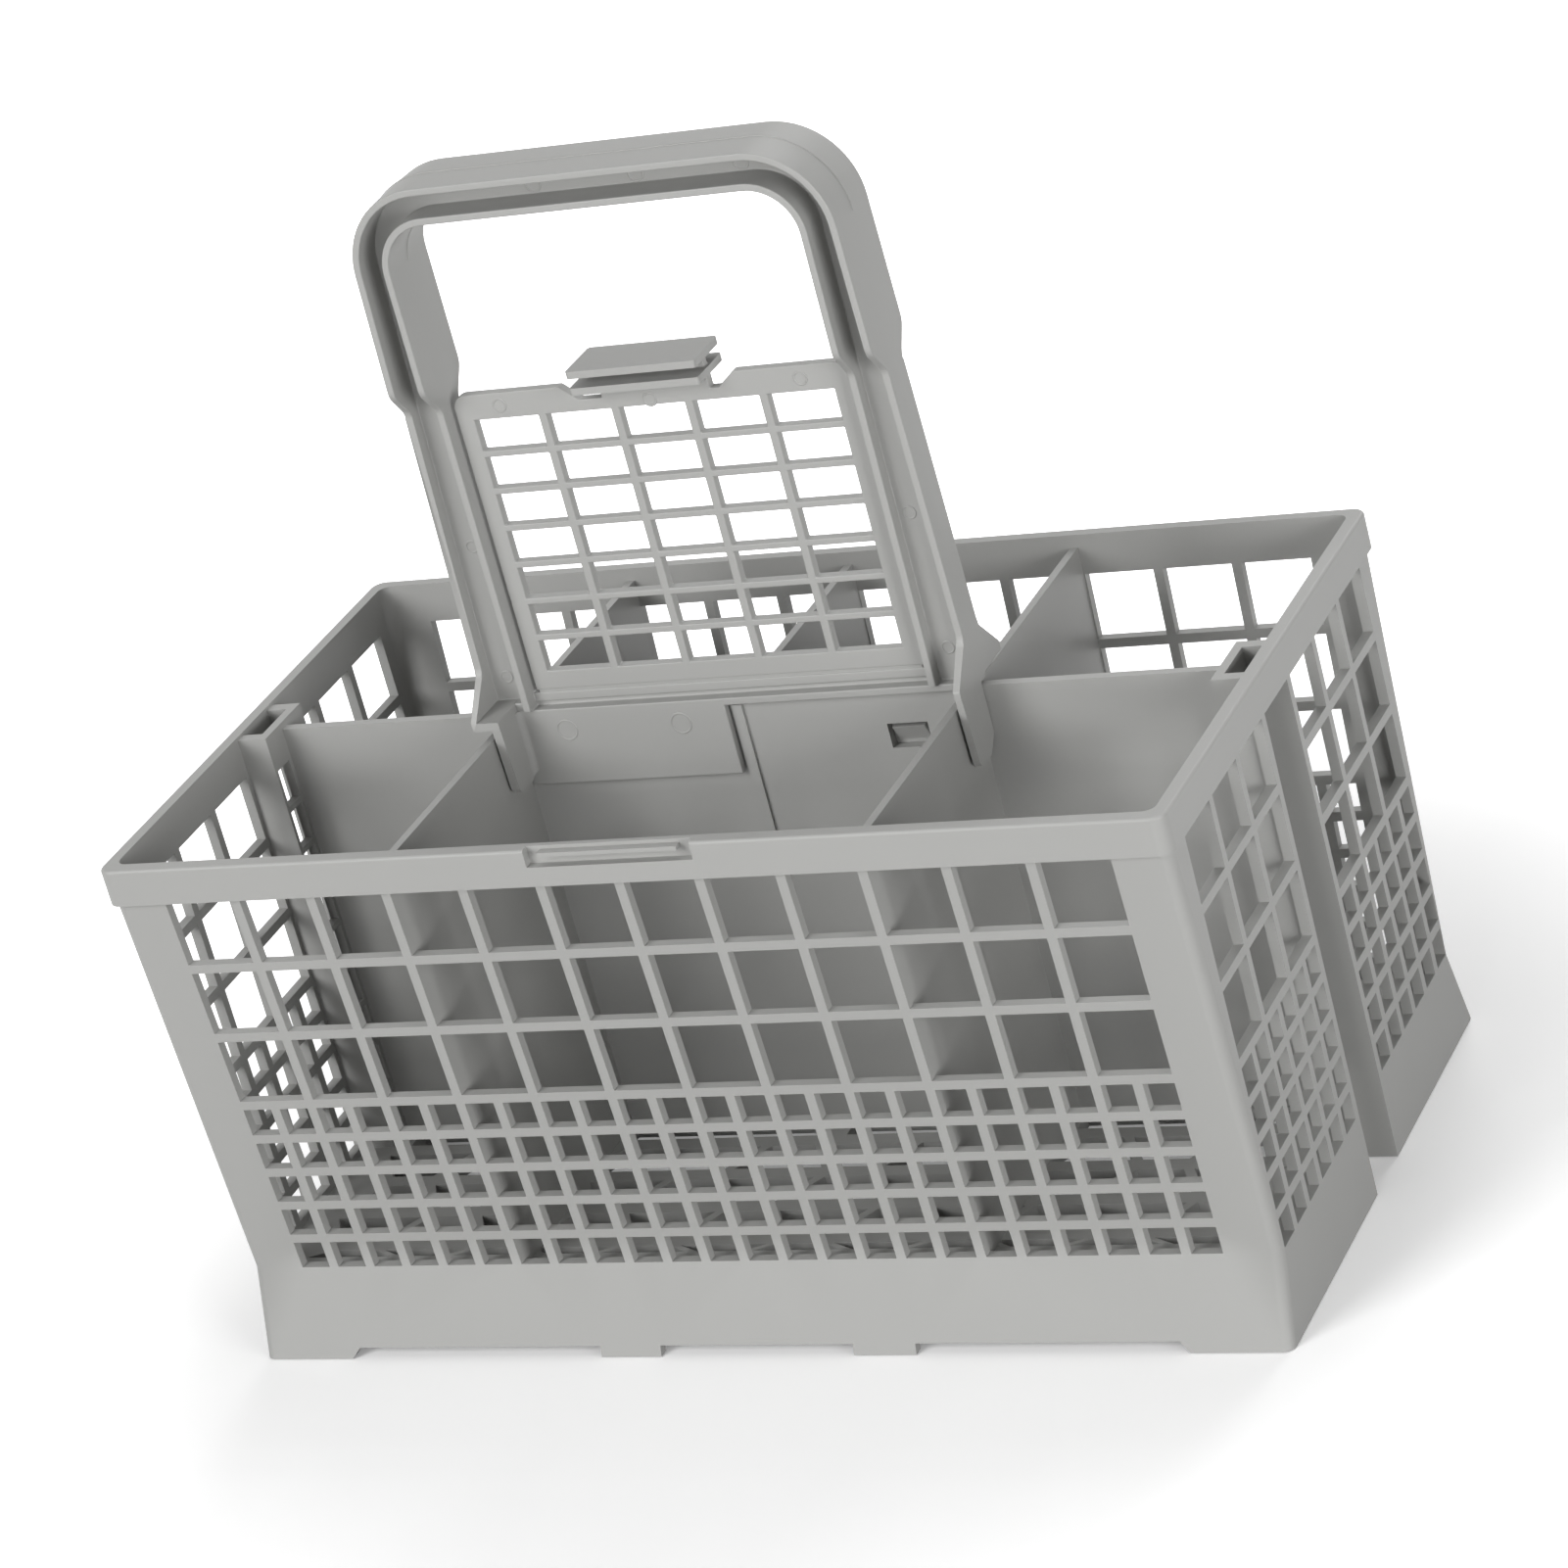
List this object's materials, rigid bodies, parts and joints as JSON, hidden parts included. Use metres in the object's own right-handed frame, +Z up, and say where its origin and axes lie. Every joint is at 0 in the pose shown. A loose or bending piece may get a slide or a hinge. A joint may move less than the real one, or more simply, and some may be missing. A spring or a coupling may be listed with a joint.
{
  "type": "dishwasher cutlery basket",
  "caption": "Grey plastic cutlery basket with lattice walls, divided compartments, a tall arched carrying handle and a fold-down lattice flap.",
  "frame": {"origin": "middle of the basket's plan, on the surface that it stands on", "axes": "+X along the length to the right of the catch, +Y to the back away from the catch, +Z up to the grip"},
  "size_m": [0.2398, 0.1386, 0.242],
  "materials": {
    "basket_grey": "satin moulded polypropylene",
    "handle_grey": "satin moulded polypropylene"
  },
  "bodies": {
    "basket_body": {"basket": "basket_grey", "handle": "handle_grey"},
    "flap_body": {"flap": "handle_grey"}
  },
  "joints": [
    {"name": "flap_hinge", "type": "hinge", "parent": "basket_body", "child": "flap_body", "pos_m": [0, -0.0012, 0.1246], "axis": [1, 0, 0], "range_deg": [0, 90]}
  ]
}
